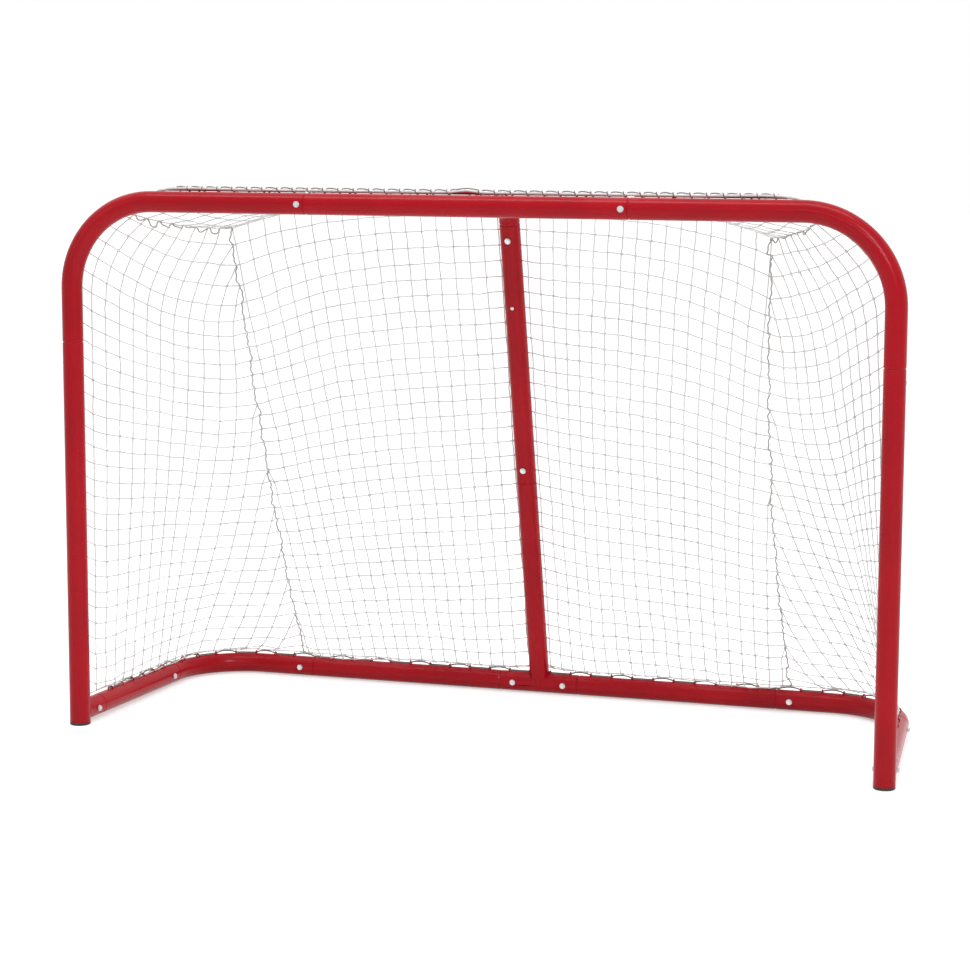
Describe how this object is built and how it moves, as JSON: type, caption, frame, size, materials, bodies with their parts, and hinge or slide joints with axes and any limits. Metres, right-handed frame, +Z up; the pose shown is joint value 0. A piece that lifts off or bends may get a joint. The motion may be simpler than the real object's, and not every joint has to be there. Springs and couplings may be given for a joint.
{
  "type": "hockey goal",
  "caption": "Full-size knock-down hockey goal: red steel tube frame with slip joints, screws and a leaning centre support, and a white twine net laced to the crossbar and base.",
  "frame": {"origin": "on the floor, under the centre of the goal's bounding box", "axes": "+X right seen from the front, +Y from the mouth to the back, +Z up"},
  "size_m": [1.9302, 0.6984, 1.2579],
  "materials": {
    "red_coat": "gloss powder coat",
    "cap_plastic": "moulded",
    "zinc_steel": "zinc plated",
    "net_twine": "knotted twine",
    "lace_cord": "worn braided cord"
  },
  "bodies": {
    "root": {"crossbar_middle": "red_coat", "corner_left": "red_coat", "corner_right": "red_coat", "post_left": "red_coat", "post_right": "red_coat", "foot_cap_left": "cap_plastic", "foot_cap_right": "cap_plastic", "base_side_left": "red_coat", "base_side_right": "red_coat", "base_corner_left": "red_coat", "base_corner_right": "red_coat", "back_bar_left": "red_coat", "back_bar_right": "red_coat", "base_tee": "red_coat", "centre_post": "red_coat", "centre_brace": "red_coat", "crossbar_screws": "zinc_steel", "crossbar_nuts": "zinc_steel", "post_screws": "zinc_steel", "centre_screws": "zinc_steel", "centre_nuts": "zinc_steel", "base_screws": "zinc_steel", "base_nuts": "zinc_steel", "net_top": "net_twine", "net_back": "net_twine", "net_side_left": "net_twine", "net_side_right": "net_twine", "seam_cord_left": "net_twine", "seam_cord_right": "net_twine", "border_cord": "net_twine", "crossbar_lace": "lace_cord", "base_lace": "lace_cord"}
  },
  "joints": []
}
